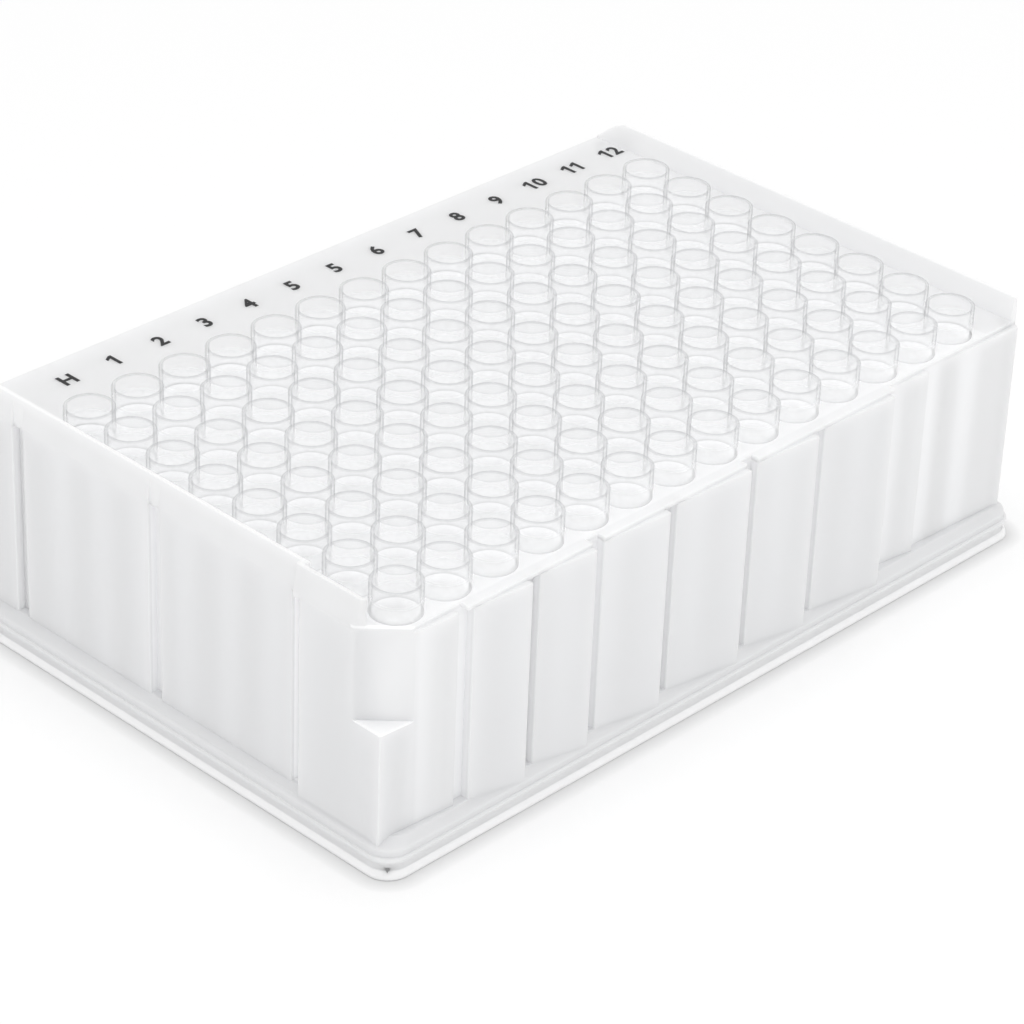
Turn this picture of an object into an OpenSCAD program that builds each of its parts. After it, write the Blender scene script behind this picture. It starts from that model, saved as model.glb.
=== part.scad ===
// Deep well plate, moulded as one piece: a grid of round tubes hangs under a flat deck,
// each tube ends above the deck as a thin chimney, and a skirt with a stepped foot stands
// round them. Millimetres. The foot rests on z = 0, +X runs along the length, and the
// notched corner is at -X, -Y.

/* [Well grid] */
// Wells along the length
columns = 14; // [4:1:18]
// Wells across the width
rows = 8; // [3:1:12]
// Distance between neighbouring well centres
pitch = 8.3; // [8.3:0.1:12]
// From the first column's centres to the near end panel
margin_near = 5.4; // [5.2:0.1:12]
// From the last column's centres to the far end panel
margin_far = 10.7; // [6:0.1:20]
// From the front row's centres to the front deck edge
margin_front = 5.4; // [5.2:0.1:12]
// From the back row's centres to the back deck edge, which leaves a strip for labels
margin_back = 19.1; // [8:0.1:30]

/* [Wells] */
// Inside diameter of a well
well_bore = 6.2; // [3:0.1:6.4]
// Depth of a well, from its rim to the bottom of its half-ball floor
well_depth = 36.4; // [15:0.1:38]
// Wall of a chimney above the deck
rim_wall = 0.4; // [0.3:0.05:0.8]
// Height of the chimneys above the deck
rim_height = 4.6; // [1:0.1:8]
// Wall of a tube under the deck
tube_wall = 0.6; // [0.4:0.05:0.9]

/* [Deck and skirt] */
// Height of the deck's top above the ground
deck_height = 35; // [25:0.5:45]
// Thickness of the deck
deck_thickness = 1.5; // [1:0.1:3]
// Thickness of the skirt where it is thinnest, behind a groove
skirt_wall = 1.2; // [0.8:0.1:2]
// Radius of the skirt's round corners
corner_radius = 3.5; // [1:0.1:5]
// Rise of the end walls above the deck
end_wall_rise = 4; // [0.5:0.1:6]
// Thickness of the raised end walls
end_wall = 1.1; // [0.6:0.1:1.3]
// Length over which a raised end wall curves down to the back edge
end_wall_fall = 7; // [2:0.5:12]

/* [Side panels] */
// Grooves along a long side, in pitches from the first column
long_grooves = [0.87, 2.29, 3.70, 5.37, 7.28, 8.93, 10.86, 11.94];
// Which of the long grooves also cut through the lip of the deck
lip_cuts = [2, 4];
// Grooves along an end, in pitches from the front row
end_grooves = [1.43, 4.73, 8.04];
// Width of a groove
groove_width = 2.2; // [0.8:0.1:3]
// Depth of a groove, which is also how far the corner panels of the front are set back
groove_depth = 1.3; // [0.6:0.1:1.4]
// How far a long side's panel stands out at its far edge
panel_flare = 0.9; // [0:0.1:1]
// How far the panel beside the notch stands out from the near end
end_corner_step = 0.9; // [0:0.1:1]
// Height of the deck's thin lip above the panels
lip_height = 0.6; // [0.3:0.1:1.2]

/* [Corner notch] */
// Depth of the notch below the deck
notch_depth = 13.7; // [5:0.1:25]
// Wall left between the corner well's chimney and the notch
notch_gap = 0.3; // [0.2:0.1:0.8]

/* [Foot] */
// How far the foot stands out beyond the end panels
foot_out_ends = 1.88; // [1.6:0.01:3]
// How far the foot stands out beyond the front and back deck edges
foot_out_sides = 1.44; // [1.4:0.01:3]
// Height of the whole foot, with its sloped shoulder
foot_height = 5.4; // [4.5:0.1:8]
// Height of the sloped shoulder
foot_shoulder = 1.2; // [0.4:0.1:2]
// Height of the foot's lower, wider band
foot_band = 3.1; // [2:0.1:4]
// How far the upper band is set back from the lower one
foot_set_back = 0.45; // [0.1:0.01:0.5]
// Wall of the rim that the foot stands on
foot_rim = 1.3; // [0.8:0.1:1.5]
// Height of that rim, under the thick web that joins it to the skirt
foot_rim_height = 1.7; // [0.8:0.1:2.8]

/* [Hidden] */
$fn = 48;
natural = [0.9, 0.91, 0.91, 0.75];
past = 1; // how far a cut runs past a face, or a rib into a wall

body_length = (columns - 1) * pitch + margin_near + margin_far;
body_width = (rows - 1) * pitch + margin_front + margin_back;
x_near = -body_length / 2;
x_far = body_length / 2;
y_front = -body_width / 2;
y_back = body_width / 2;
bore_r = well_bore / 2;
rim_top = deck_height + rim_height;
panel_top = deck_height - lip_height;
deck_under = deck_height - deck_thickness;
foot_half = [x_far + foot_out_ends, y_back + foot_out_sides]; // half the foot's outline

function column_x(i) = x_near + margin_near + i * pitch;
function row_y(j) = y_front + margin_front + j * pitch;

// Groove places that lie on the wall, each as a distance along it
long_cuts = [for (g = long_grooves) if (column_x(g) < x_far - corner_radius - groove_width) column_x(g)];
end_cuts = [for (g = end_grooves) if (row_y(g) < y_back - corner_radius - groove_width) row_y(g)];
centre_from = long_cuts[0];
centre_to = long_cuts[max(0, len(long_cuts) - 2)];

// The notch's face crosses the corner at 45 degrees, just clear of the corner well
notch_reach = (bore_r + rim_wall + notch_gap) * sqrt(2);
notch_sum = column_x(0) + row_y(0) - notch_reach;

// A rectangle with round corners, apart from the one that carries the notch
module rounded_field(from, to, radius) {
    size = to - from;
    translate(from + [radius, 0]) square([size[0] - 2 * radius, size[1]]);
    translate(from + [0, radius]) square([size[0], size[1] - 2 * radius]);
    translate(from) square([radius, radius]);
    translate([to[0] - radius, from[1] + radius]) circle(radius);
    translate([from[0] + radius, to[1] - radius]) circle(radius);
    translate([to[0] - radius, to[1] - radius]) circle(radius);
}

// All that lies beyond the notch's 45-degree face, or beyond a wall that follows it
module notch_field(wall = 0) {
    line = notch_sum + wall * sqrt(2);
    reach = body_length;
    polygon([[line + reach, -reach], [-reach, line + reach], [-reach, -reach]]);
}

// The skirt's core outline, which the grooves lay bare
module core_field() {
    rounded_field([x_near + groove_depth, y_front + groove_depth],
                  [x_far - groove_depth, y_back - groove_depth], corner_radius);
}

// The widest outline of the panels: it rounds their corners
module envelope() {
    rounded_field([x_near - end_corner_step, y_front - panel_flare],
                  [x_far, y_back + panel_flare], corner_radius);
}

// Panels along a long side. Each starts level with the lip and flares to its far edge
module long_panels(lip_y, side) {
    edges = concat([x_near - (side < 0 ? end_corner_step : 0) - groove_width / 2], long_cuts,
                   [x_far + groove_width / 2]);
    root = side * (body_width / 2 - groove_depth - skirt_wall / 2);
    for (k = [0 : len(edges) - 2]) {
        from = edges[k] + groove_width / 2;
        to = edges[k + 1] - groove_width / 2;
        polygon([[from, root], [from, lip_y[k]], [to, lip_y[k] + side * panel_flare], [to, root]]);
    }
}

// Panels along an end. The one beside the notch stands out further
module end_panels(side) {
    edges = concat([y_front + groove_depth - groove_width / 2], end_cuts,
                   [y_back + groove_width / 2]);
    last = len(edges) - 2;
    root = side * (body_length / 2 - groove_depth - skirt_wall / 2);
    for (k = [0 : last]) {
        from = edges[k] + groove_width / 2;
        to = edges[k + 1] - groove_width / 2;
        face = side * (body_length / 2 + (k == 0 && side < 0 ? end_corner_step : 0));
        polygon([[root, from], [face, from], [face, to], [root, to]]);
    }
}

module panels() {
    centre = len(long_cuts) - 1;
    front = [for (k = [0 : len(long_cuts)])
        k > 0 && k < centre ? y_front : y_front + groove_depth];
    back = [for (k = [0 : len(long_cuts)]) y_back];
    linear_extrude(panel_top) intersection() {
        union() {
            long_panels(front, -1);
            long_panels(back, 1);
            end_panels(-1);
            end_panels(1);
        }
        envelope();
    }
}

// The deck's outline: level lips on the front and back, and the stepped ends
module deck_field() {
    intersection() {
        union() {
            translate([x_near, y_front + groove_depth])
                square([body_length, body_width - groove_depth]);
            difference() {
                translate([centre_from, y_front])
                    square([centre_to - centre_from, groove_depth + past]);
                for (k = lip_cuts) if (k < len(long_cuts) - 1)
                    translate([long_cuts[k] - groove_width / 2, y_front - past])
                        square([groove_width, groove_depth + past]);
            }
            translate([x_near - end_corner_step, y_front + groove_depth])
                square([end_corner_step + past, end_cuts[0] - y_front - groove_depth]);
        }
        envelope();
    }
}

// The end walls follow the deck's outline and rise above it
module raised_ends() {
    intersection() {
        translate([0, 0, panel_top]) linear_extrude(lip_height + end_wall_rise) difference() {
            deck_field();
            translate([x_near + end_wall, y_front - past])
                square([body_length - 2 * end_wall, body_width + 2 * past]);
            translate([x_near - end_corner_step + end_wall, y_front - past])
                square([end_corner_step + past, end_cuts[0] - end_wall - y_front + past]);
        }
        rotate([90, 0, 90]) translate([0, 0, x_near - end_corner_step - past])
            linear_extrude(body_length + end_corner_step + 2 * past) end_wall_profile();
    }
}

// An end wall seen from the side: level, then a quarter of an ellipse down to the back edge
module end_wall_profile() {
    top = deck_height + end_wall_rise;
    fall = [for (turn = [0 : 15 : 90])
        [y_back - end_wall_fall * (1 - sin(turn)), deck_height + end_wall_rise * cos(turn)]];
    polygon(concat([[y_back + past, panel_top], [y_front - past, panel_top], [y_front - past, top]],
                   fall, [[y_back + past, deck_height]]));
}

// A wide level band, a narrower one on it, and a shoulder that slopes up to the panels
module foot() {
    upper = foot_half - foot_set_back * [1, 1];
    linear_extrude(foot_band) rounded_foot(foot_half);
    intersection() {
        linear_extrude(foot_height) rounded_foot(upper);
        rotate([90, 0, 0]) linear_extrude(2 * upper[1], center = true)
            shoulder_section(upper[0], foot_out_ends - foot_set_back);
        rotate([90, 0, 90]) linear_extrude(2 * upper[0], center = true)
            shoulder_section(upper[1], foot_out_sides - foot_set_back);
    }
}

// The foot's upper band seen along a side, with its top edges cut off by this much
module shoulder_section(half, slope) {
    edge = foot_height - foot_shoulder;
    polygon([[-half, 0], [half, 0], [half, edge], [half - slope, foot_height],
             [slope - half, foot_height], [-half, edge]]);
}

module rounded_foot(half) {
    translate([-half[0] + corner_radius, -half[1]])
        square(2 * half - [2 * corner_radius, 0]);
    translate([-half[0], -half[1] + corner_radius])
        square(2 * half - [0, 2 * corner_radius]);
    for (east = [-1, 1], north = [-1, 1])
        translate([east * (half[0] - corner_radius), north * (half[1] - corner_radius)])
            circle(corner_radius);
}

// The hollow under the deck, wider inside the foot's rim. A wall is left behind the notch
// and a floor under it
module hollow() {
    inset = groove_depth + skirt_wall;
    inside = foot_half - foot_rim * [1, 1];
    translate([0, 0, -past]) linear_extrude(foot_rim_height + past)
        square(2 * inside, center = true);
    difference() {
        translate([0, 0, -past]) linear_extrude(deck_under + past)
            translate([x_near + inset, y_front + inset])
                square([body_length - 2 * inset, body_width - 2 * inset]);
        translate([0, 0, deck_height - notch_depth - skirt_wall])
            linear_extrude(notch_depth) notch_field(skirt_wall);
    }
}

module notch() {
    translate([0, 0, deck_height - notch_depth])
        linear_extrude(notch_depth + rim_height + past) notch_field();
}

// A body of this radius whose lower end is a half ball, with its lowest point at low
module round_bottomed(radius, low, high) {
    translate([0, 0, low + radius]) {
        sphere(radius);
        cylinder(r = radius, h = high - low - radius);
    }
}

module tube() {
    middle = deck_height - deck_thickness / 2;
    round_bottomed(bore_r + tube_wall, rim_top - well_depth - tube_wall, middle);
    translate([0, 0, middle]) cylinder(r = bore_r + rim_wall, h = rim_top - middle);
}

module bore() {
    round_bottomed(bore_r, rim_top - well_depth, rim_top + past);
}

module at_wells() {
    for (i = [0 : columns - 1], j = [0 : rows - 1])
        translate([column_x(i), row_y(j), 0]) children();
}

module plate() {
    color(natural) difference() {
        union() {
            difference() {
                union() {
                    linear_extrude(deck_height) core_field();
                    panels();
                    translate([0, 0, panel_top]) linear_extrude(lip_height) deck_field();
                    raised_ends();
                    foot();
                }
                hollow();
            }
            at_wells() tube();
        }
        notch();
        at_wells() bore();
    }
}

plate();
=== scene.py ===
from math import cos, hypot, pi, radians, sin, sqrt

import bmesh
import bpy
from mathutils import Matrix, Vector


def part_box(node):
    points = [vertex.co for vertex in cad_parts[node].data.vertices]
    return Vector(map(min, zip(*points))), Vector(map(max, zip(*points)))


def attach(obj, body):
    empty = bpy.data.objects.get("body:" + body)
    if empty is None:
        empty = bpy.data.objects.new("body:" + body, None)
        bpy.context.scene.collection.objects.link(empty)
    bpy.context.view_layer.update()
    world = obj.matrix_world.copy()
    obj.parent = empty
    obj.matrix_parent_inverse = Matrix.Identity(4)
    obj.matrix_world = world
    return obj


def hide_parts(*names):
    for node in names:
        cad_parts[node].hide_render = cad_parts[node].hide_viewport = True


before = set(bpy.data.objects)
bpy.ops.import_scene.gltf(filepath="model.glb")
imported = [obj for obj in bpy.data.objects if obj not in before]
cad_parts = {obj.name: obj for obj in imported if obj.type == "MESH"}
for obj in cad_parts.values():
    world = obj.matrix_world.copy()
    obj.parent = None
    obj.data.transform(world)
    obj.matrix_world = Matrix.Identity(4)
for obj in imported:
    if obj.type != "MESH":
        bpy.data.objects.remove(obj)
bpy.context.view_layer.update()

MM = 0.001

# ---------------------------------------------------------------- sizes, in millimetres

LOW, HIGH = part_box("plate")
LENGTH = (HIGH[0] - LOW[0]) / MM
WIDTH = (HIGH[1] - LOW[1]) / MM
HEIGHT = (HIGH[2] - LOW[2]) / MM

COLUMNS, ROWS, PITCH = 14, 8, 8.3
MARGIN_NEAR, MARGIN_FRONT = 5.4, 5.4
FOOT_OUT_ENDS, FOOT_OUT_SIDES = 1.88, 1.44
RIM_HEIGHT = 4.6
DECK = HEIGHT - RIM_HEIGHT
DECK_THICKNESS = 1.5
END_WALL_RISE, END_WALL, END_WALL_FALL = 4.0, 1.1, 7.0
LIP = 0.6
BORE_R, RIM_WALL, TUBE_WALL = 3.1, 0.4, 0.6
WELL_DEPTH = 36.4
SKIRT_WALL, GROOVE_DEPTH, GROOVE_WIDTH = 1.2, 1.3, 2.2
PANEL_FLARE, END_CORNER_STEP = 0.9, 0.9
CORNER_R = 3.5
NOTCH_DEPTH, NOTCH_GAP = 13.7, 0.3
FOOT_HEIGHT, FOOT_SHOULDER, FOOT_BAND, FOOT_SET_BACK = 5.4, 1.2, 3.1, 0.45
FOOT_RIM, FOOT_RIM_HEIGHT = 1.3, 1.7
LONG_GROOVES = [0.87, 2.29, 3.70, 5.37, 7.28, 8.93, 10.86, 11.94]
LIP_CUTS = [2, 4]
END_GROOVES = [1.43, 4.73, 8.04]

# What the moulded edges add to the plain sizes
EDGE = 0.16
NOTCH_EDGE = 0.28
WALL_TOP = 0.55
END_WALL_GROOVE = 0.45
FOOT_FLANGE, FOOT_WAIST_LOW, FOOT_WAIST_HIGH, FOOT_WAIST = 0.5, 1.35, 2.45, 0.45
RIM_FLAT = 0.08
RIM_ROUND = (RIM_WALL - RIM_FLAT) / 2

# Steps of the round forms, and how far a cutting solid reaches past what it cuts
WELL_SIDES, BALL_RINGS, RIM_STEPS = 32, 4, 3
WALL_CURVE_STEPS = 12
PAST = 1.0

X_FAR = LENGTH / 2 - FOOT_OUT_ENDS
Y_BACK = WIDTH / 2 - FOOT_OUT_SIDES
X_NEAR, Y_FRONT = -X_FAR, -Y_BACK
PANEL_TOP = DECK - LIP
DECK_UNDER = DECK - DECK_THICKNESS
INSET = GROOVE_DEPTH + SKIRT_WALL


def column_x(place):
    return X_NEAR + MARGIN_NEAR + place * PITCH


def row_y(place):
    return Y_FRONT + MARGIN_FRONT + place * PITCH


LONG_CUTS = [column_x(g) for g in LONG_GROOVES]
END_CUTS = [row_y(g) for g in END_GROOVES]
NOTCH_SUM = column_x(0) + row_y(0) - (BORE_R + RIM_WALL + NOTCH_GAP) * sqrt(2)

# ---------------------------------------------------------------- camera

CAMERA_AZIMUTH, CAMERA_ELEVATION, CAMERA_ROLL = -46.71, 30.94, 2.33
CAMERA_DISTANCE = 0.48583
CAMERA_LENS = 132.8
AIM = Vector((-0.02916, -0.02897, DECK * MM))


def make_camera():
    """A long lens that looks down over the notched corner, with a slight roll."""
    azimuth, elevation, roll = (radians(v) for v in (CAMERA_AZIMUTH, CAMERA_ELEVATION, CAMERA_ROLL))
    ahead = Vector((-sin(azimuth) * cos(elevation), cos(azimuth) * cos(elevation), -sin(elevation)))
    right = Vector((cos(azimuth), sin(azimuth), 0))
    up = right.cross(ahead)
    across = right * cos(roll) + up * sin(roll)
    above = up * cos(roll) - right * sin(roll)
    data = bpy.data.cameras.new("camera")
    data.sensor_width = 36
    data.lens = CAMERA_LENS
    data.clip_start = 0.01
    data.clip_end = 20
    camera = bpy.data.objects.new("camera", data)
    bpy.context.collection.objects.link(camera)
    turn = Matrix((across, above, -ahead)).transposed().to_4x4()
    camera.matrix_world = Matrix.Translation(AIM - ahead * CAMERA_DISTANCE) @ turn
    bpy.context.scene.camera = camera


# ---------------------------------------------------------------- finishes

BLACK, WHITE = (0, 0, 0, 1), (1, 1, 1, 1)
# Painted shade: the milky plastic's colour near the floor and at the deck, painted darker towards the
# bottom
MILKY_SHADED_BOTTOM, MILKY_LIT_TOP = (0.775, 0.778, 0.786, 1), (0.845, 0.848, 0.856, 1)
# Painted shade: the rim grey darkens the chimneys' edge-on outlines and the tops of their lips
HAZE_WHITE, RIM_SHADE_GREY = (0.95, 0.953, 0.96, 1), (0.36, 0.37, 0.38, 1)
INK_DARK, INK_WORN = (0.008, 0.008, 0.009, 1), (0.03, 0.03, 0.032, 1)
PLASTIC_IOR = 1.49
SCATTER_DEPTH = 2.5

# How milky a chimney's wall is, from its lip down to the deck, and how much painted shade darkens it
# where it is seen edge-on and at its lip
CHIMNEY_MILK, CHIMNEY_MILK_LOW, MILK_FADE = 0.12, 0.55, 3.2
EDGE_DARK, EDGE_DARK_LOW, LIP_PAINTED_SHADE = 0.36, 0.05, 0.22

# Weak emission, painted light: partly in place of the light that comes through thin plastic, partly to
# lift the shade between the chimneys, in the bores and in the grooves, and as painted highlights on
# the notch, the end walls' tops and the foot
DECK_GLOW, GRID_GLOW, HAZE_GLOW = 0.04, 0.06, 0.13
BORE_GLOW, BORE_GLOW_DEEP, BORE_SEEN = 0.165, 0.09, 3.7
LONG_GROOVE_GLOW, END_GROOVE_GLOW, STEP_GROOVE_GLOW, RECESS_GLOW = 0.05, 0.075, 0.17, 0.04
LEDGE_GLOW, NOTCH_EDGE_GLOW, WALL_TOP_GLOW = 0.13, 0.12, 0.06
FLANGE_GLOW, WAIST_GLOW = 0.24, 0.04

BENCH_GLOW = 0.12
# Painted shadow: the bench's grey close round the foot, and how far it reaches
BENCH_WHITE, BENCH_SHADE, BENCH_SHADE_REACH = (0.9, 0.9, 0.9, 1), (0.68, 0.68, 0.68, 1), 2.6


class Wire:
    """A socket of one node tree. Sums on wires add Math nodes to that tree."""

    def __init__(self, finish, socket):
        self.finish, self.socket = finish, socket

    def _maths(self, operation, left, right=0.0):
        node = self.finish.node("Math", {"operation": operation}, {0: left, 1: right})
        return self.finish.out(node, 0)

    def __add__(self, other):
        return self._maths("ADD", self, other)

    def __sub__(self, other):
        return self._maths("SUBTRACT", self, other)

    def __rsub__(self, other):
        return self._maths("SUBTRACT", other, self)

    def __mul__(self, other):
        return self._maths("MULTIPLY", self, other)

    def __truediv__(self, other):
        return self._maths("DIVIDE", self, other)

    def __pow__(self, other):
        return self._maths("POWER", self, other)

    def __abs__(self):
        return self._maths("ABSOLUTE", self)

    __radd__ = __add__

    def ramp(self, start, end):
        """0 before start, 1 after end, and even in between. It runs backwards where end is lower."""
        node = self.finish.node("MapRange", {}, {"Value": self, "From Min": start, "From Max": end})
        return self.finish.out(node, 0)


class Finish:
    """A material and its node tree, with one method that adds any node."""

    def __init__(self, name):
        self.material = bpy.data.materials.new(name)
        self.material.use_nodes = True
        # The glow is too weak to be worth sampling as a light
        self.material.cycles.emission_sampling = "NONE"
        self.tree = self.material.node_tree
        self.tree.nodes.clear()

    def node(self, kind, settings, sockets):
        """Adds a node, sets its properties, and then gives its sockets a value or a Wire."""
        made = self.tree.nodes.new("ShaderNode" + kind)
        for name, value in settings.items():
            setattr(made, name, value)
        for key, value in sockets.items():
            if isinstance(value, Wire):
                self.tree.links.new(value.socket, made.inputs[key])
            else:
                made.inputs[key].default_value = value
        return made

    def out(self, node, key):
        return Wire(self, node.outputs[key])

    def place(self):
        return self.out(self.node("TexCoord", {}, {}), "Object")

    def axes(self, place):
        parts = self.node("SeparateXYZ", {}, {"Vector": place})
        return [self.out(parts, axis) for axis in "XYZ"]

    def noise(self, place, scale, detail=1.0):
        sockets = {"Vector": place, "Scale": scale, "Detail": detail}
        return self.out(self.node("TexNoise", {}, sockets), 0)

    def between(self, share, first, second):
        """A colour between two others."""
        mix = self.node("Mix", {"data_type": "RGBA"}, {0: share, 6: first, 7: second})
        return self.out(mix, 2)

    def mixed(self, share, first, second):
        """A shader between two others."""
        return self.out(self.node("MixShader", {}, {0: share, 1: first, 2: second}), 0)

    def finish(self, shader):
        self.node("OutputMaterial", {}, {"Surface": shader})
        return self.material


def well_radius(f, x, y):
    """Distance from the axis of the nearest well."""
    offsets = []
    for along, first in ((x, column_x(0)), (y, row_y(0))):
        steps = (along - (first - PITCH / 2) * MM) / (PITCH * MM)
        part = f.out(f.node("Math", {"operation": "FRACT"}, {0: steps}), 0)
        offsets.append((part - 0.5) * (PITCH * MM))
    return (offsets[0] * offsets[0] + offsets[1] * offsets[1]) ** 0.5


def band(along, low, high, soft=0.1):
    """1 between two places, in millimetres, and 0 outside them."""
    rise = along.ramp((low - soft) * MM, (low + soft) * MM)
    return rise * along.ramp((high + soft) * MM, (high - soft) * MM)


def over_wells(along, first, count):
    """1 over the wells and 0 past the outermost ones."""
    middle = first + (count - 1) * PITCH / 2
    reach = (count - 1) * PITCH / 2 + BORE_R + RIM_WALL + 0.3
    return band(along, middle - reach, middle + reach, 0.2)


def groove_glow(x, y, z):
    """Painted light that lifts the shade on the floors and sides of the grooves, apart from the notch
    and the recessed panels' faces.
    """
    depth_front, depth_end = Y_BACK * MM - abs(y), X_FAR * MM - abs(x)
    behind = (0.5, GROOVE_DEPTH + 0.4)
    half = GROOVE_WIDTH / 2
    along_front = band(x, LONG_CUTS[0] - half, LONG_CUTS[-2] + half)
    along_end = band(y, END_CUTS[0] - half, END_CUTS[-1] + half)
    beside_step = band(y, END_CUTS[0] - half, END_CUTS[0] + half)
    past_notch = (x + y).ramp((NOTCH_SUM + 0.2) * MM, (NOTCH_SUM + 0.8) * MM)
    glow = (
        band(depth_front, *behind) * along_front * LONG_GROOVE_GLOW
        + band(depth_front, *behind) * (1 - along_front) * RECESS_GLOW
        + band(depth_end, *behind) * (along_end * END_GROOVE_GLOW + beside_step * STEP_GROOVE_GLOW)
    )
    return glow * past_notch * band(z, FOOT_HEIGHT, PANEL_TOP)


def notch_glow(x, y, z):
    """Painted highlights on the notch's ledge and on the edge above its face."""
    across_notch = (NOTCH_SUM * MM - x - y) * sqrt(0.5)
    ledge_z = DECK - NOTCH_DEPTH
    ledge = across_notch.ramp(0, 0.3 * MM) * band(z, ledge_z - 0.2, ledge_z + 0.1, 0.05)
    along_edge = band(across_notch, -NOTCH_EDGE - 0.1, 0.3, 0.05)
    edge = along_edge * band(z, DECK - NOTCH_EDGE, DECK + 0.1, 0.05)
    return ledge * LEDGE_GLOW + edge * NOTCH_EDGE_GLOW


def foot_glow(x, y, z):
    """Painted light on the foot's flange and waist, where they stand out past the panels: a bright
    flange and a dimmer waist.
    """
    past_x = abs(x).ramp(X_FAR * MM, (X_FAR + 0.5) * MM)
    past_y = abs(y).ramp(Y_BACK * MM, (Y_BACK + 0.5) * MM)
    bands = (
        band(z, 0.15, FOOT_WAIST_LOW - 0.1) * FLANGE_GLOW
        + band(z, FOOT_WAIST_LOW, FOOT_WAIST_HIGH) * WAIST_GLOW
    )
    return (1 - (1 - past_x) * (1 - past_y)) * bands


def painted_glow(x, y, z, near_well):
    """Painted light as emission, partly for the light that thin plastic passes on: on the deck, the
    bores, the grooves, the notch and the foot.
    """
    wells = over_wells(x, column_x(0), COLUMNS) * over_wells(y, row_y(0), ROWS)
    # Painted light in the bores, stronger deeper down, to lift the shade inside them
    bore = near_well.ramp((BORE_R + 0.3) * MM, (BORE_R + 0.15) * MM) * wells * band(z, 0.5, DECK + 0.1)
    inside = band(x, X_NEAR + 0.4, X_FAR - 0.4) * (1 - bore)
    # Painted light on the deck, stronger among the wells where the chimneys' shadows fall
    deck = z.ramp((DECK - 0.3) * MM, (DECK - 0.1) * MM) * inside
    past_corner = (x + y).ramp((NOTCH_SUM + 0.8) * MM, (NOTCH_SUM + 4) * MM)
    deep = z.ramp(DECK * MM, (DECK - BORE_SEEN) * MM)
    # Painted highlight along the tops of the raised end walls
    wall_top = z.ramp((DECK + END_WALL_RISE - 0.25) * MM, (DECK + END_WALL_RISE - 0.1) * MM)
    return (
        bore * past_corner * (deep * BORE_GLOW_DEEP + BORE_GLOW)
        + wall_top * WALL_TOP_GLOW
        + deck * (wells * GRID_GLOW + DECK_GLOW)
        + groove_glow(x, y, z)
        + notch_glow(x, y, z)
        + foot_glow(x, y, z)
    )


def skin(f, place):
    """Flow marks and a fine grain, as a bump."""
    flow, grain = f.noise(place, 140.0, 0.0), f.noise(place, 2500.0, 0.0)
    sockets = {"Strength": 0.05, "Distance": 0.0002, "Height": flow + grain * 0.15}
    return f.out(f.node("Bump", {}, sockets), "Normal")


def natural_polypropylene():
    """The milky plastic of the deck, the skirt and the tubes, painted darker towards the bottom as
    shade, and with a painted glow.
    """
    f = Finish("natural_polypropylene")
    place = f.place()
    cloud = f.noise(place, 60.0, 1.0)
    x, y, z = f.axes(place)
    # Painted light: an emission glow on the deck, the bores, the grooves, the notch and the foot
    glow = painted_glow(x, y, z, well_radius(f, x, y))
    # Painted shade: darker towards the bottom and lighter towards the deck, with a random cloud of
    # tone on top
    colour = f.between(z.ramp(0, DECK * MM) * 0.85 + cloud * 0.15, MILKY_SHADED_BOTTOM, MILKY_LIT_TOP)
    return f.finish(f.out(f.node("BsdfPrincipled", {}, {
        "Base Color": colour,
        "Roughness": 0.32 + cloud * 0.12,
        "IOR": PLASTIC_IOR,
        "Normal": skin(f, place),
        "Subsurface Weight": 1.0,
        "Subsurface Radius": (1.0, 1.0, 1.0),
        "Subsurface Scale": SCATTER_DEPTH * MM,
        "Emission Color": f.between(glow, BLACK, WHITE),
        "Emission Strength": 1.0,
    }), 0))


def clear_polypropylene():
    """The same plastic where it is as thin as a chimney and turns clear, apart from its edges, which
    carry painted shade like its lip; its haze glows faintly as painted light.
    """
    f = Finish("clear_polypropylene")
    place = f.place()
    cloud = f.noise(place, 60.0)
    z = f.axes(place)[2]
    clear = f.out(f.node("BsdfTransparent", {}, {"Color": WHITE}), 0)
    # Painted light: the haze glows a little, so that the chimneys do not darken what lies behind them
    haze = f.out(f.node("BsdfPrincipled", {}, {
        "Base Color": HAZE_WHITE,
        "Roughness": 0.25 + cloud * 0.1,
        "IOR": PLASTIC_IOR,
        "Emission Color": WHITE,
        "Emission Strength": HAZE_GLOW,
    }), 0)
    rim = f.out(f.node("BsdfPrincipled", {}, {
        "Base Color": RIM_SHADE_GREY,
        "Roughness": 0.12 + cloud * 0.1,
        "IOR": PLASTIC_IOR,
    }), 0)
    # Painted shade: grey where a wall is seen edge-on, fading towards the deck, partly for the longer
    # path through a milky wall and partly for the dark that refraction shows in clear plastic
    edge_on = f.out(f.node("LayerWeight", {}, {"Blend": 0.5}), "Facing")
    upper = z.ramp((DECK + 0.8) * MM, (DECK + 2.0) * MM)
    outline = edge_on.ramp(0.62, 0.82) * (upper * (EDGE_DARK - EDGE_DARK_LOW) + EDGE_DARK_LOW)
    # Painted shade: a dark ring over the top of every lip
    lip = z.ramp((HEIGHT - 0.30) * MM, (HEIGHT - 0.14) * MM)
    dark = 1 - (1 - outline) * (1 - lip * LIP_PAINTED_SHADE)
    lower = z.ramp((DECK + MILK_FADE) * MM, DECK * MM)
    milk = lower * (CHIMNEY_MILK_LOW - CHIMNEY_MILK) + CHIMNEY_MILK
    return f.finish(f.mixed(dark, f.mixed(milk, clear, haze), rim))


def printed_ink():
    """Flat black marking ink, a little uneven."""
    f = Finish("printed_ink")
    patch = f.noise(f.place(), 900.0, 2.0)
    return f.finish(f.out(f.node("BsdfPrincipled", {}, {
        "Base Color": f.between(patch, INK_DARK, INK_WORN),
        "Roughness": 0.45 + patch * 0.2,
    }), 0))


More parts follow.
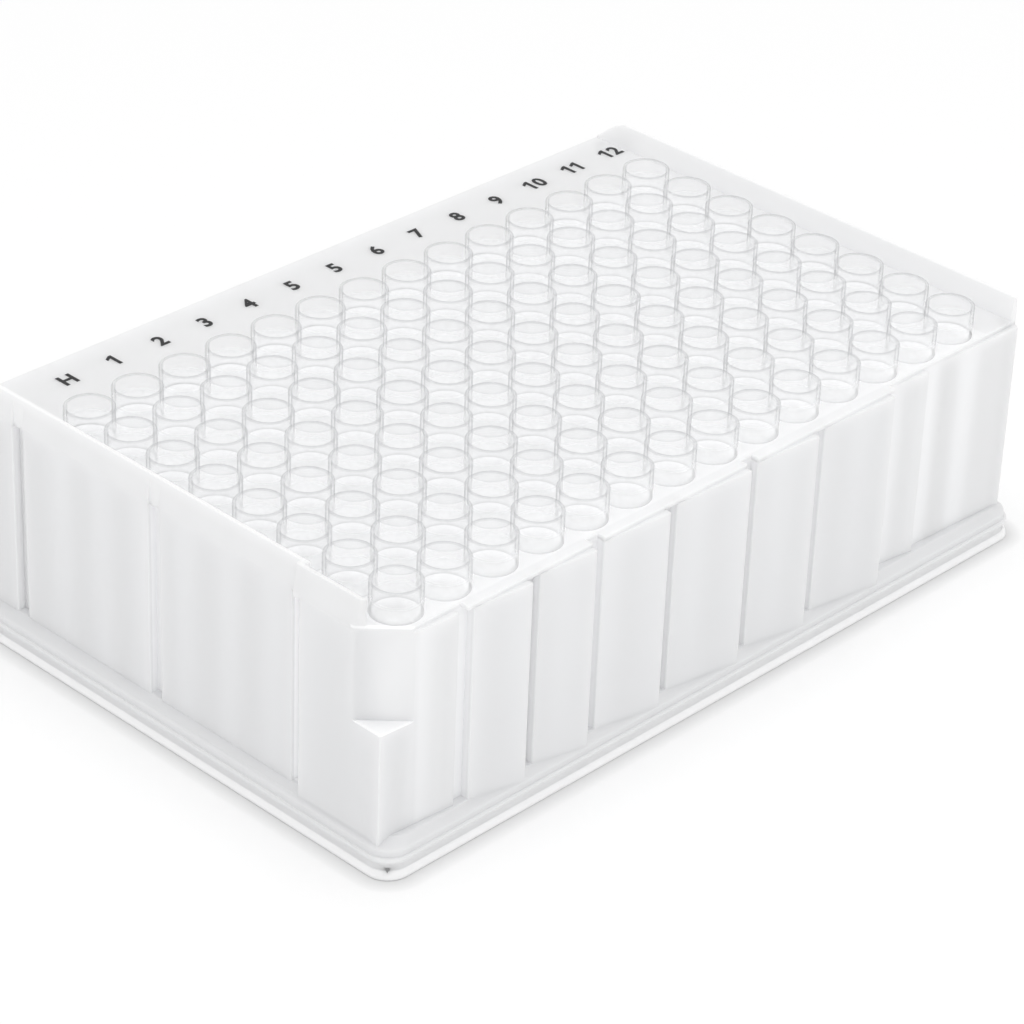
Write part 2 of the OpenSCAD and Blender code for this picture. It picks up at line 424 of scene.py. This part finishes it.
def bench_top():
    """A plain white bench, lit a little from below by its own even glow, with a painted contact shadow
    close round the foot.
    """
    f = Finish("bench_top")
    x, y = f.axes(f.place())[:2]
    reach = 20
    past = [
        abs(along).ramp((half - CORNER_R) * MM, (half - CORNER_R + reach) * MM) * (reach * MM)
        for along, half in ((x, LENGTH / 2), (y, WIDTH / 2))
    ]
    away = (past[0] * past[0] + past[1] * past[1]) ** 0.5
    # Painted shadow: colour and glow darken towards the foot's outline
    shade = away.ramp((CORNER_R + BENCH_SHADE_REACH) * MM, CORNER_R * MM)
    colour = f.between(shade, BENCH_WHITE, BENCH_SHADE)
    return f.finish(f.out(f.node("BsdfPrincipled", {}, {
        "Base Color": colour,
        "Roughness": 0.9,
        "Specular IOR Level": 0.1,
        "Emission Color": colour,
        "Emission Strength": BENCH_GLOW / BENCH_WHITE[0],
    }), 0))


# ---------------------------------------------------------------- mesh helpers


def new_object(name, points, faces):
    """A mesh object from points in millimetres."""
    mesh = bpy.data.meshes.new(name)
    mesh.from_pydata([Vector(p) * MM for p in points], [], faces)
    piece = bpy.data.objects.new(name, mesh)
    bpy.context.collection.objects.link(piece)
    return piece


def prism(outlines, low, high, turn=lambda u, v, w: (u, v, w)):
    """Closed prisms over outlines that run anticlockwise, as one object. turn maps them to x, y, z."""
    points, faces = [], []
    for outline in outlines:
        first, count = len(points), len(outline)
        points += [turn(u, v, w) for w in (low, high) for u, v in outline]
        bottom = [first + k for k in range(count)]
        top = [first + count + k for k in range(count)]
        faces += [bottom[::-1], top]
        for k in range(count):
            after = (k + 1) % count
            faces.append((bottom[k], bottom[after], top[after], top[k]))
    made = new_object("prism", points, faces)
    make_outward(made)
    return made


def make_outward(piece):
    shape = bmesh.new()
    shape.from_mesh(piece.data)
    bmesh.ops.recalc_face_normals(shape, faces=shape.faces)
    shape.to_mesh(piece.data)
    shape.free()


def applied(piece):
    """Replaces a piece's mesh with what its modifiers make of it."""
    seen = bpy.context.evaluated_depsgraph_get()
    mesh = bpy.data.meshes.new_from_object(piece.evaluated_get(seen))
    piece.modifiers.clear()
    piece.data = mesh
    return piece


def combine(base, operation, *tools):
    """Joins, cuts or crosses a solid with others, which are used up."""
    for tool in tools:
        step = base.modifiers.new("step", "BOOLEAN")
        step.operation = operation
        step.solver = "MANIFOLD"
        step.object = tool
        applied(base)
        bpy.data.objects.remove(tool)
    return base


def round_edges(piece, width, kept=lambda x, y, z: False):
    """Rounds the outward edges, apart from those that are kept, and leaves inward corners sharp."""
    shape = bmesh.new()
    shape.from_mesh(piece.data)
    bmesh.ops.remove_doubles(shape, verts=shape.verts, dist=0.002 * MM)
    bmesh.ops.dissolve_limit(
        shape, angle_limit=radians(0.5), verts=shape.verts, edges=shape.edges, delimit=set()
    )
    shape.normal_update()
    edges = [
        e for e in shape.edges
        if e.is_convex
        and e.calc_face_angle(0) > radians(30)
        and not all(kept(*v.co / MM) for v in e.verts)
    ]
    bmesh.ops.bevel(
        shape,
        geom=edges,
        offset=width * MM,
        segments=3,
        profile=0.5,
        affect="EDGES",
        clamp_overlap=False,
    )
    shape.to_mesh(piece.data)
    shape.free()
    return piece


def rectangle(x0, y0, x1, y1):
    return [(x0, y0), (x1, y0), (x1, y1), (x0, y1)]


def arc(x, y, radius, start, steps=8):
    """A quarter circle, anticlockwise from the start angle in degrees."""
    turns = [radians(start + 90 * k / steps) for k in range(steps + 1)]
    return [(x + radius * cos(t), y + radius * sin(t)) for t in turns]


def rounded_rectangle(x0, y0, x1, y1, radius, square_corner=False):
    """A rectangle with round corners, apart from its first one where that is asked."""
    first = [(x0, y0)] if square_corner else arc(x0 + radius, y0 + radius, radius, 180)
    return (
        first
        + arc(x1 - radius, y0 + radius, radius, 270)
        + arc(x1 - radius, y1 - radius, radius, 0)
        + arc(x0 + radius, y1 - radius, radius, 90)
    )


# ---------------------------------------------------------------- deck, skirt and foot


def notch_field(wall=0.0):
    line, reach = NOTCH_SUM + wall * sqrt(2), LENGTH
    return [(-reach, -reach), (line + reach, -reach), (-reach, line + reach)]


def long_side_panels(lip_places, side):
    """Panels that start level with the lip and flare to their far edge."""
    step = END_CORNER_STEP if side < 0 else 0
    edges = [X_NEAR - step - GROOVE_WIDTH / 2] + LONG_CUTS + [X_FAR + GROOVE_WIDTH / 2]
    root = side * (Y_BACK - GROOVE_DEPTH - SKIRT_WALL / 2)
    panels = []
    for k, lip_y in enumerate(lip_places):
        start, end = edges[k] + GROOVE_WIDTH / 2, edges[k + 1] - GROOVE_WIDTH / 2
        outline = [(start, root), (start, lip_y), (end, lip_y + side * PANEL_FLARE), (end, root)]
        panels.append(outline if side < 0 else outline[::-1])
    return panels


def end_panels(side):
    """Panels along an end. The one beside the notch stands out further."""
    edges = [Y_FRONT + GROOVE_DEPTH - GROOVE_WIDTH / 2] + END_CUTS + [Y_BACK + GROOVE_WIDTH / 2]
    root = side * (X_FAR - GROOVE_DEPTH - SKIRT_WALL / 2)
    panels = []
    for k in range(len(edges) - 1):
        start, end = edges[k] + GROOVE_WIDTH / 2, edges[k + 1] - GROOVE_WIDTH / 2
        face = side * (X_FAR + (END_CORNER_STEP if k == 0 and side < 0 else 0))
        outline = [(root, start), (face, start), (face, end), (root, end)]
        panels.append(outline if side > 0 else outline[::-1])
    return panels


def envelope():
    return rounded_rectangle(
        X_NEAR - END_CORNER_STEP, Y_FRONT - PANEL_FLARE, X_FAR, Y_BACK + PANEL_FLARE, CORNER_R, True
    )


def make_panels():
    centre = len(LONG_CUTS) - 1
    front = [Y_FRONT if 0 < k < centre else Y_FRONT + GROOVE_DEPTH for k in range(len(LONG_CUTS) + 1)]
    back = [Y_BACK] * (len(LONG_CUTS) + 1)
    panels = prism(long_side_panels(front, -1), 0, PANEL_TOP)
    combine(
        panels,
        "UNION",
        prism(long_side_panels(back, 1), 0, PANEL_TOP),
        prism(end_panels(-1), 0, PANEL_TOP),
        prism(end_panels(1), 0, PANEL_TOP),
    )
    return combine(panels, "INTERSECT", prism([envelope()], -PAST, DECK))


def deck_outline_solid(low, high):
    """The deck's outline from low to high, with the front lip and its cuts."""
    field = prism([rectangle(X_NEAR, Y_FRONT + GROOVE_DEPTH, X_FAR, Y_BACK)], low, high)
    centre_from, centre_to = LONG_CUTS[0], LONG_CUTS[-2]
    lip = prism([rectangle(centre_from, Y_FRONT, centre_to, Y_FRONT + GROOVE_DEPTH + PAST)], low, high)
    half = GROOVE_WIDTH / 2
    cuts = [LONG_CUTS[k] for k in LIP_CUTS]
    combine(lip, "DIFFERENCE", prism(
        [rectangle(x - half, Y_FRONT - PAST, x + half, Y_FRONT + GROOVE_DEPTH) for x in cuts],
        low - PAST,
        high + PAST,
    ))
    beside = rectangle(X_NEAR - END_CORNER_STEP, Y_FRONT + GROOVE_DEPTH, X_NEAR + PAST, END_CUTS[0])
    step = prism([beside], low, high)
    combine(field, "UNION", lip, step)
    return combine(field, "INTERSECT", prism([envelope()], low - PAST, high + PAST))


def make_raised_ends():
    """The end walls: level, then a curve down to the back edge."""
    top = DECK + END_WALL_RISE
    ends = deck_outline_solid(PANEL_TOP, top)
    inside = [
        rectangle(X_NEAR + END_WALL, Y_FRONT - PAST, X_FAR - END_WALL, Y_BACK + PAST),
        rectangle(
            X_NEAR - END_CORNER_STEP + END_WALL,
            Y_FRONT - 2 * PAST,
            X_NEAR + END_WALL + PAST,
            END_CUTS[0] - END_WALL,
        ),
    ]
    for hole in inside:
        combine(ends, "DIFFERENCE", prism([hole], PANEL_TOP - PAST, top + PAST))
    section = [(Y_BACK + PAST, PANEL_TOP - PAST), (Y_BACK + PAST, DECK)]
    for k in range(WALL_CURVE_STEPS + 1):
        y = Y_BACK - END_WALL_FALL * k / WALL_CURVE_STEPS
        section.append((y, DECK + END_WALL_RISE * sin(radians(90 * k / WALL_CURVE_STEPS))))
    section += [(Y_FRONT - 2 * PAST, top), (Y_FRONT - 2 * PAST, PANEL_TOP - PAST)]
    reach = X_FAR + END_CORNER_STEP + PAST
    combine(ends, "INTERSECT", prism([section], -reach, reach, lambda u, v, w: (w, u, v)))
    slope = END_WALL - WALL_TOP
    for face, side, start, end in (
        (X_NEAR - END_CORNER_STEP, -1, Y_FRONT - PAST, END_CUTS[0]),
        (X_NEAR, -1, END_CUTS[0], Y_BACK + PAST),
        (X_FAR, 1, Y_FRONT - PAST, Y_BACK + PAST),
    ):
        wedge = [(face, DECK), (face - side * slope, top), (face - side * slope, top + PAST),
                 (face + side * PAST, top + PAST), (face + side * PAST, DECK)]
        combine(ends, "DIFFERENCE", prism([wedge], start, end, lambda u, v, w: (u, w, v)))
    return ends


def make_end_wall_grooves():
    """Shallow cuts that carry the end grooves up the raised end walls."""
    half, bottom, reach = GROOVE_WIDTH / 2, X_FAR - END_WALL_GROOVE, X_FAR + END_CORNER_STEP + PAST
    near = [rectangle(-reach, y - half, -bottom, y + half) for y in END_CUTS[1:]]
    far = [rectangle(bottom, y - half, reach, y + half) for y in END_CUTS]
    return prism(near + far, PANEL_TOP, DECK + END_WALL_RISE - 0.8)


def make_foot():
    """A thin flange, a waist above it, a band, a narrower band and a shoulder up to the panels."""
    x, y = LENGTH / 2, WIDTH / 2
    top = (FOOT_OUT_ENDS, FOOT_OUT_SIDES)
    levels = [
        (0, (0, 0)),
        (FOOT_FLANGE, (0, 0)),
        (FOOT_WAIST_LOW, (FOOT_WAIST, FOOT_WAIST)),
        (FOOT_WAIST_HIGH, (FOOT_WAIST, FOOT_WAIST)),
        (FOOT_WAIST_HIGH + 0.15, (0.1, 0.1)),
        (FOOT_BAND, (0.1, 0.1)),
        (FOOT_BAND + 0.1, (FOOT_SET_BACK, FOOT_SET_BACK)),
        (FOOT_HEIGHT - FOOT_SHOULDER, (FOOT_SET_BACK, FOOT_SET_BACK)),
        (FOOT_HEIGHT, top),
    ]
    points = []
    for z, (in_x, in_y) in levels:
        outline = rounded_rectangle(in_x - x, in_y - y, x - in_x, y - in_y, CORNER_R)
        points += [(u, v, z) for u, v in outline]
    count = len(outline)
    faces = [list(range(count))[::-1], list(range(len(points) - count, len(points)))]
    for level in range(len(levels) - 1):
        for k in range(count):
            a, b = level * count + k, level * count + (k + 1) % count
            faces.append((a, b, b + count, a + count))
    return new_object("foot", points, faces)


def make_hollow():
    """The space under the deck, wider inside the foot's rim, with a wall left behind the notch."""
    inner = rectangle(X_NEAR + INSET, Y_FRONT + INSET, X_FAR - INSET, Y_BACK - INSET)
    high = prism([inner], -PAST, DECK_UNDER)
    notch_floor = DECK - NOTCH_DEPTH - SKIRT_WALL
    combine(high, "DIFFERENCE", prism([notch_field(SKIRT_WALL)], notch_floor, DECK))
    x, y = LENGTH / 2 - FOOT_RIM, WIDTH / 2 - FOOT_RIM
    return combine(high, "UNION", prism([rectangle(-x, -y, x, y)], -PAST, FOOT_RIM_HEIGHT))


def make_notch():
    """The cut across the corner, with a small slope along the deck's edge."""
    block = prism([notch_field()], DECK - NOTCH_DEPTH, HEIGHT + PAST)
    start_x, end_x = X_NEAR - END_CORNER_STEP + END_WALL, NOTCH_SUM - Y_FRONT - GROOVE_DEPTH + PAST
    along = [start_x * sqrt(2), end_x * sqrt(2)]
    edge = NOTCH_EDGE
    slope = [(-PAST, -edge - PAST), (edge + PAST, PAST), (-PAST, PAST)]

    def turn(inwards, above, across):
        start = NOTCH_SUM / sqrt(2) + inwards
        return (
            (start + across - NOTCH_SUM / sqrt(2)) / sqrt(2),
            (start - across + NOTCH_SUM / sqrt(2)) / sqrt(2),
            DECK + above,
        )

    return block, prism([slope], along[0], along[1], turn)


def make_skirt():
    """The walls, the deck, the raised ends and the foot, hollow underneath."""
    low = (X_NEAR + GROOVE_DEPTH, Y_FRONT + GROOVE_DEPTH)
    high = (X_FAR - GROOVE_DEPTH, Y_BACK - GROOVE_DEPTH)
    core = prism([rounded_rectangle(*low, *high, CORNER_R, True)], 0, DECK)
    panels, lip, ends = make_panels(), deck_outline_solid(PANEL_TOP, DECK), make_raised_ends()
    round_edges(panels, EDGE, lambda x, y, z: z > PANEL_TOP - 0.01 and abs(x) > X_FAR - 0.01)
    round_edges(lip, EDGE, lambda x, y, z: z < PANEL_TOP + 0.01)
    round_edges(ends, EDGE, lambda x, y, z: z < DECK + 0.01)
    combine(core, "UNION", panels, lip, ends)
    combine(core, "DIFFERENCE", make_end_wall_grooves())
    combine(core, "DIFFERENCE", *make_notch())
    combine(core, "UNION", round_edges(make_foot(), EDGE))
    return combine(core, "DIFFERENCE", make_hollow())


# ---------------------------------------------------------------- wells


def lathe(profile, sides):
    """A closed solid of revolution. The profile runs upwards, from the axis back to the axis."""
    ring = [(r, z) for r, z in profile if r > 0]
    points = [(0, 0, profile[0][1])]
    for r, z in ring:
        points += [(r * cos(2 * pi * k / sides), r * sin(2 * pi * k / sides), z) for k in range(sides)]
    points.append((0, 0, profile[-1][1]))
    faces = []
    for k in range(sides):
        after = (k + 1) % sides
        faces.append((0, 1 + after, 1 + k))
        for level in range(len(ring) - 1):
            a, b = 1 + level * sides, 1 + (level + 1) * sides
            faces.append((a + k, a + after, b + after, b + k))
        last = 1 + (len(ring) - 1) * sides
        faces.append((last + k, last + after, len(points) - 1))
    return new_object("lathe", points, faces)


def half_ball(radius, low):
    turns = [radians(90 * k / BALL_RINGS) for k in range(1, BALL_RINGS + 1)]
    return [(0, low)] + [(radius * sin(t), low + radius * (1 - cos(t))) for t in turns]


def rim_edge(radius, inwards):
    """The round-over of a rim's edge, which turns inwards on the outside and outwards in the bore."""
    turns = [radians(90 * k / RIM_STEPS) for k in range(RIM_STEPS + 1)]
    return [
        (radius - inwards * RIM_ROUND * (1 - cos(t)), HEIGHT - RIM_ROUND * (1 - sin(t))) for t in turns
    ]


def grid_tree(name):
    """Geometry Nodes that repeat a piece over a grid of places."""
    tree = bpy.data.node_groups.new(name, "GeometryNodeTree")
    face = tree.interface
    face.new_socket("Geometry", in_out="INPUT", socket_type="NodeSocketGeometry")
    for label, kind in (
        ("Columns", "NodeSocketInt"),
        ("Rows", "NodeSocketInt"),
        ("Pitch", "NodeSocketFloat"),
        ("Centre", "NodeSocketVector"),
        ("Material", "NodeSocketMaterial"),
    ):
        face.new_socket(label, in_out="INPUT", socket_type=kind)
    face.new_socket("Geometry", in_out="OUTPUT", socket_type="NodeSocketGeometry")
    inside = tree.nodes.new("NodeGroupInput")
    outside = tree.nodes.new("NodeGroupOutput")

    def add(kind, links, **settings):
        node = tree.nodes.new(kind)
        for label, value in settings.items():
            setattr(node, label, value)
        for socket, source in links.items():
            tree.links.new(source, node.inputs[socket])
        return node

    def span(count):
        gaps = add("ShaderNodeMath", {0: inside.outputs[count]}, operation="SUBTRACT")
        gaps.inputs[1].default_value = 1
        return add(
            "ShaderNodeMath", {0: gaps.outputs[0], 1: inside.outputs["Pitch"]}, operation="MULTIPLY"
        ).outputs[0]

    grid = add("GeometryNodeMeshGrid", {
        "Size X": span("Columns"),
        "Size Y": span("Rows"),
        "Vertices X": inside.outputs["Columns"],
        "Vertices Y": inside.outputs["Rows"],
    })
    placed = add("GeometryNodeTransform", {
        "Geometry": grid.outputs["Mesh"], "Translation": inside.outputs["Centre"]
    })
    copies = add("GeometryNodeInstanceOnPoints", {
        "Points": placed.outputs["Geometry"], "Instance": inside.outputs["Geometry"]
    })
    real = add("GeometryNodeRealizeInstances", {"Geometry": copies.outputs["Instances"]})
    dressed = add("GeometryNodeSetMaterial", {
        "Geometry": real.outputs["Geometry"], "Material": inside.outputs["Material"]
    })
    tree.links.new(dressed.outputs["Geometry"], outside.inputs["Geometry"])
    return tree


def repeat_on_grid(piece, tree, material):
    step = piece.modifiers.new("grid", "NODES")
    step.node_group = tree
    values = {
        "Columns": COLUMNS,
        "Rows": ROWS,
        "Pitch": PITCH * MM,
        "Centre": Vector((column_x((COLUMNS - 1) / 2), row_y((ROWS - 1) / 2), 0)) * MM,
        "Material": material,
    }
    for item in tree.interface.items_tree:
        if item.in_out == "INPUT" and item.name in values:
            step[item.identifier] = values[item.name]
    return applied(piece)


def make_tubes(tree, material):
    """Tubes that hang under the deck and end above it as thin chimneys, still solid."""
    tube, chimney = BORE_R + TUBE_WALL, BORE_R + RIM_WALL
    middle = DECK - DECK_THICKNESS / 2
    profile = half_ball(tube, HEIGHT - WELL_DEPTH - TUBE_WALL)
    profile += [(tube, middle), (chimney, middle)] + rim_edge(chimney, 1) + [(0, HEIGHT)]
    return repeat_on_grid(lathe(profile, WELL_SIDES), tree, material)


def make_bores(tree, material):
    """What is cut out of the tubes, with a rounded mouth."""
    profile = half_ball(BORE_R, HEIGHT - WELL_DEPTH) + [(BORE_R, DECK)] + rim_edge(BORE_R, -1)
    profile += [(profile[-1][0], HEIGHT + PAST), (0, HEIGHT + PAST)]
    return repeat_on_grid(lathe(profile, WELL_SIDES), tree, material)


def is_chimney(place):
    """Whether a face's middle is on a rim or a chimney, above the deck."""
    x, y, z = place / MM
    column, row = round((x - column_x(0)) / PITCH), round((y - row_y(0)) / PITCH)
    if z < DECK + 0.1 or not (0 <= column < COLUMNS and 0 <= row < ROWS):
        return False
    return hypot(x - column_x(column), y - row_y(row)) < BORE_R + RIM_WALL + 0.05


def make_plate(thick, thin):
    """The whole moulded piece, in its thick plastic and in the thin plastic of the chimneys."""
    body = make_skirt()
    body.name = "deck_wells_and_skirt"
    tree = grid_tree("well_grid")
    combine(body, "UNION", make_tubes(tree, thick))
    combine(body, "DIFFERENCE", make_bores(tree, thick))
    body.data.materials.clear()
    for material in (thick, thin):
        body.data.materials.append(material)
    for face in body.data.polygons:
        face.material_index = 1 if is_chimney(face.center) else 0
    return even_normals(body)


def even_normals(piece):
    """Keeps flat faces flat beside their rounded edges."""
    piece.data.shade_smooth()
    piece.data.set_sharp_from_angle(angle=radians(50))
    step = piece.modifiers.new("normals", "WEIGHTED_NORMAL")
    step.keep_sharp = True
    return applied(piece)


# ---------------------------------------------------------------- printed labels

LABELS = ["H", "1", "2", "3", "4", "5", "5", "6", "7", "8", "9", "10", "11", "12"]
LABEL_FIRST, LABEL_STEP = -49.0, 8.26
LABEL_HEIGHT, LABEL_Y, SIGN_STEP, INK, BOLD = 2.5, 34.75, 1.95, 0.02, 0.11
CAPITAL_SHARE = 0.7
ONE = [
    (-0.12, -0.1), (0.44, -0.1), (0.44, 2.62), (0.02, 2.62), (-0.82, 2.1), (-0.82, 1.55), (-0.12, 1.93)
]


def sign_mesh(sign):
    """A figure or a letter, bold, with its middle at x = 0. The figure one has a flag."""
    if sign == "1":
        piece = prism([ONE], -INK, INK)
    else:
        text = bpy.data.curves.new("sign", "FONT")
        text.body = sign
        text.align_x = "CENTER"
        text.size = LABEL_HEIGHT / CAPITAL_SHARE * MM
        text.offset = BOLD * MM
        text.extrude = INK * MM
        text.resolution_u = 3
        piece = bpy.data.objects.new("sign", text)
        bpy.context.collection.objects.link(piece)
    seen = bpy.context.evaluated_depsgraph_get()
    shape = bpy.data.meshes.new_from_object(piece.evaluated_get(seen))
    bpy.data.objects.remove(piece)
    return shape


def make_labels(material):
    """The row letter and the column numbers, printed on the deck along the back."""
    whole = bmesh.new()
    for place, word in enumerate(LABELS):
        for spot, sign in enumerate(word):
            x = LABEL_FIRST + place * LABEL_STEP + (spot - (len(word) - 1) / 2) * SIGN_STEP
            shape = sign_mesh(sign)
            shape.transform(Matrix.Translation(Vector((x, LABEL_Y, DECK)) * MM))
            whole.from_mesh(shape)
            bpy.data.meshes.remove(shape)
    bmesh.ops.remove_doubles(whole, verts=whole.verts, dist=0.001 * MM)
    mesh = bpy.data.meshes.new("column_labels")
    whole.to_mesh(mesh)
    whole.free()
    labels = bpy.data.objects.new("column_labels", mesh)
    bpy.context.collection.objects.link(labels)
    mesh.materials.clear()
    mesh.materials.append(material)
    return labels


# ---------------------------------------------------------------- stage

SKY = 0.73
LIGHT_AIM = (0, 0, 0.02)
# Name, place, size and power of each light
LIGHTS = [("overhead", (0.05, 0.05, 1.2), 0.7, 3.0), ("key", (-0.42, -0.70, 0.85), 0.35, 1.6)]
BENCH_REACH = 3000.0


def area_light(name, place, size, power):
    data = bpy.data.lights.new(name, "AREA")
    data.shape = "SQUARE"
    data.size = size
    data.energy = power
    light = bpy.data.objects.new(name, data)
    bpy.context.collection.objects.link(light)
    place, aim = Vector(place), Vector(LIGHT_AIM)
    light.location = place
    light.rotation_euler = (aim - place).to_track_quat("-Z", "Y").to_euler()


def make_stage():
    world = bpy.data.worlds.new("studio")
    world.use_nodes = True
    backing = world.node_tree.nodes["Background"]
    backing.inputs["Color"].default_value = WHITE
    backing.inputs["Strength"].default_value = SKY
    bpy.context.scene.world = world
    bpy.context.scene.view_settings.view_transform = "Standard"
    for light in LIGHTS:
        area_light(*light)
    corners = [(u, v, 0) for u, v in rectangle(-BENCH_REACH, -BENCH_REACH, BENCH_REACH, BENCH_REACH)]
    floor = new_object("bench", corners, [(0, 1, 2, 3)])
    floor.data.materials.append(bench_top())


make_camera()
make_stage()
body = make_plate(natural_polypropylene(), clear_polypropylene())
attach(body, "root")
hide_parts("plate")
labels = make_labels(printed_ink())
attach(labels, "root")
